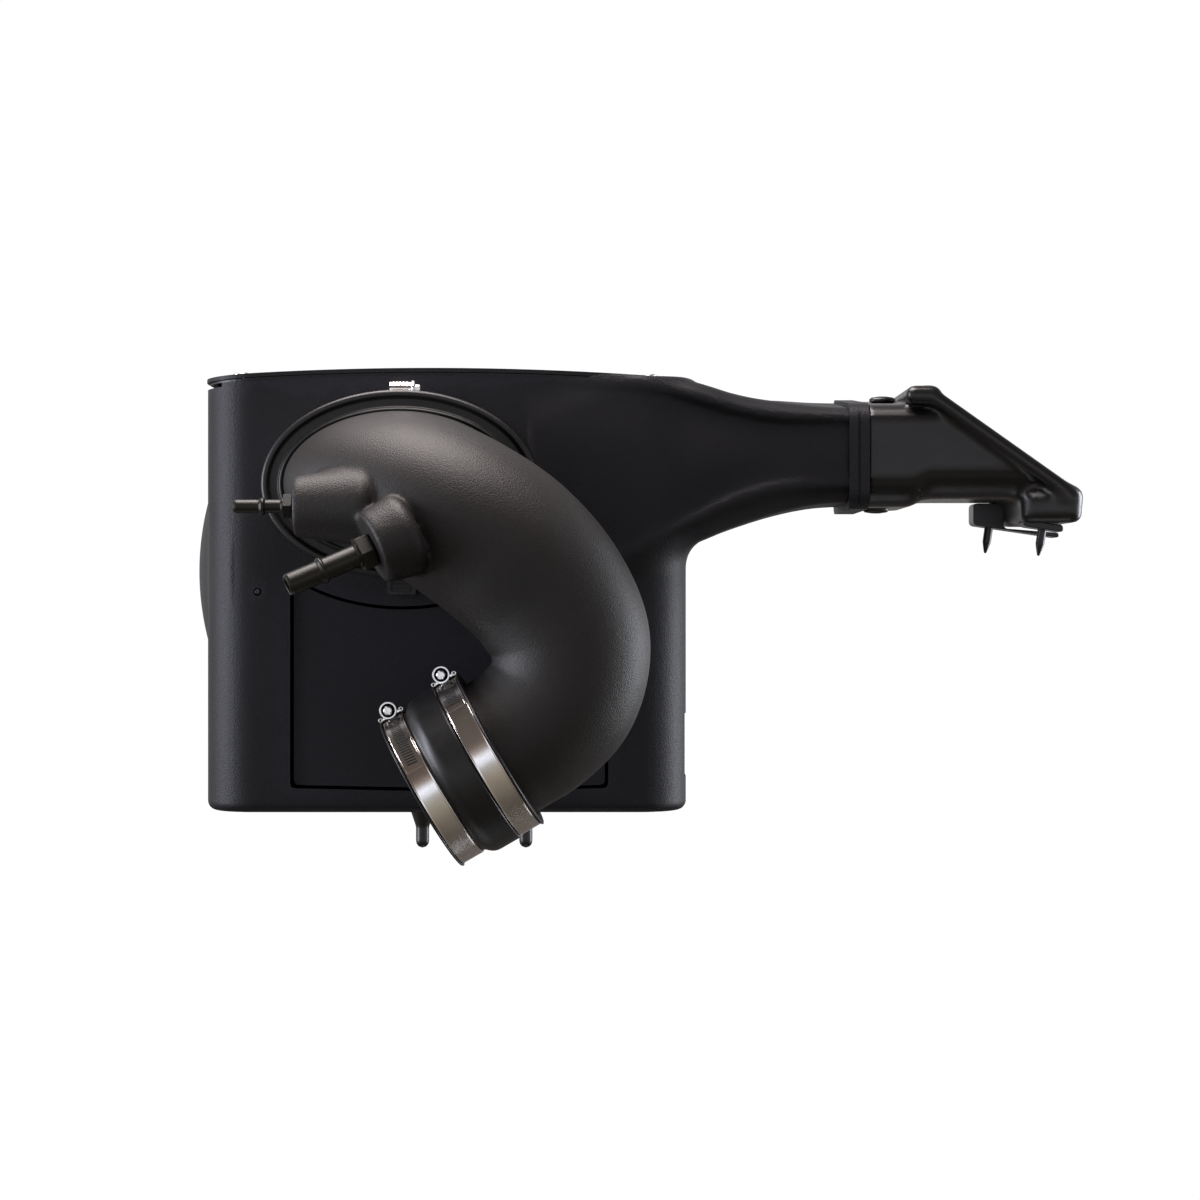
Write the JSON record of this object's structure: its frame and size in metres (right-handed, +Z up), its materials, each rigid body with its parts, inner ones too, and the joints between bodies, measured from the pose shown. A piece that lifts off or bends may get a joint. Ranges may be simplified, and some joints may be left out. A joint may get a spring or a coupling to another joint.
{
  "type": "closed-box cold air intake",
  "caption": "Closed-box cold air intake for a car engine, with inlet scoop, oval filter, U-bent tube and hose coupler.",
  "frame": {"origin": "centre of the air box's flat base", "axes": "+X towards the inlet scoop, -Y towards the intake tube, +Z up through the lid"},
  "size_m": [0.6655, 0.4213, 0.3593],
  "materials": {
    "box_plastic": "fine moulded grain, matte black",
    "tube_plastic": "rotomoulded grain, warm matte black",
    "smooth_plastic": "semi-gloss black",
    "fitting_plastic": "smooth nylon, glossy black",
    "rubber": "smooth satin silicone",
    "stainless": "polished stainless steel band",
    "zinc_steel": "zinc-plated",
    "brass": "knurled",
    "filter_cotton": "oiled pleated cotton"
  },
  "bodies": {
    "intake": {"air_box": "box_plastic", "lid_gasket": "rubber", "threaded_insert_1": "brass", "threaded_insert_2": "brass", "threaded_insert_3": "brass", "threaded_insert_4": "brass", "threaded_insert_5": "brass", "locating_peg_1": "smooth_plastic", "locating_peg_2": "smooth_plastic", "locating_peg_3": "smooth_plastic", "front_rivet": "smooth_plastic", "filter_collar": "rubber", "filter_media": "filter_cotton", "filter_end_cap": "rubber", "collar_clamp_band": "stainless", "collar_clamp_housing": "stainless", "intake_tube": "tube_plastic", "small_spigot": "fitting_plastic", "small_spigot_seal": "rubber", "large_spigot": "fitting_plastic", "large_spigot_seal": "rubber", "hump_coupler": "rubber", "tube_clamp_band": "stainless", "tube_clamp_housing": "stainless", "outlet_clamp_band": "stainless", "outlet_clamp_housing": "stainless", "scoop": "smooth_plastic", "scoop_seal": "rubber", "scoop_foot_far": "smooth_plastic", "scoop_foot_near": "smooth_plastic", "scoop_pin_far": "smooth_plastic", "scoop_pin_near": "smooth_plastic"},
    "lid": {"lid_panel": "box_plastic", "lid_screw_1": "zinc_steel", "lid_screw_2": "zinc_steel", "lid_screw_3": "zinc_steel", "lid_screw_4": "zinc_steel", "lid_screw_5": "zinc_steel"},
    "tube_clamp_screw": {"tube_clamp_screw": "zinc_steel"},
    "tube_clamp_tail": {"tube_clamp_tail": "stainless"},
    "outlet_clamp_screw": {"outlet_clamp_screw": "zinc_steel"},
    "outlet_clamp_tail": {"outlet_clamp_tail": "stainless"},
    "collar_clamp_screw": {"collar_clamp_screw": "zinc_steel"},
    "collar_clamp_tail": {"collar_clamp_tail": "stainless"}
  },
  "joints": [
    {"name": "lid_lift", "type": "slide", "parent": "intake", "child": "lid", "axis": [0, 0, 1], "range_m": [0, 0.15]},
    {"name": "tube_clamp_turn", "type": "hinge", "parent": "intake", "child": "tube_clamp_screw", "pos_m": [0.00396, -0.23, 0.10422], "axis": [0, 1, 0], "range_deg": [-2880, 1080]},
    {"name": "tube_clamp_take_up", "type": "hinge", "parent": "intake", "child": "tube_clamp_tail", "pos_m": [0.03646, -0.23, 0.04804], "axis": [-0.8656, 0, -0.5008], "range_deg": [-15.49, 5.93]},
    {"name": "outlet_clamp_turn", "type": "hinge", "parent": "intake", "child": "outlet_clamp_screw", "pos_m": [-0.03271, -0.23, 0.07954], "axis": [0, 1, 0], "range_deg": [-2880, 1080]},
    {"name": "outlet_clamp_take_up", "type": "hinge", "parent": "intake", "child": "outlet_clamp_tail", "pos_m": [-0.00171, -0.23, 0.02596], "axis": [-0.8656, 0, -0.5008], "range_deg": [-16.3, 6.24]},
    {"name": "collar_clamp_turn", "type": "hinge", "parent": "intake", "child": "collar_clamp_screw", "pos_m": [-0.031, -0.13875, 0.3096], "axis": [-1, 0, 0], "range_deg": [-2880, 1080]},
    {"name": "collar_clamp_take_up", "type": "hinge", "parent": "intake", "child": "collar_clamp_tail", "pos_m": [-0.031, -0.13875, 0.15982], "axis": [0, -1, 0], "range_deg": [-6.53, 2.57]}
  ],
  "couplings": [
    {"joint": "tube_clamp_take_up", "follows": "tube_clamp_turn", "ratio": 0.00531},
    {"joint": "outlet_clamp_take_up", "follows": "outlet_clamp_turn", "ratio": 0.005589},
    {"joint": "collar_clamp_take_up", "follows": "collar_clamp_turn", "ratio": 0.002198}
  ]
}
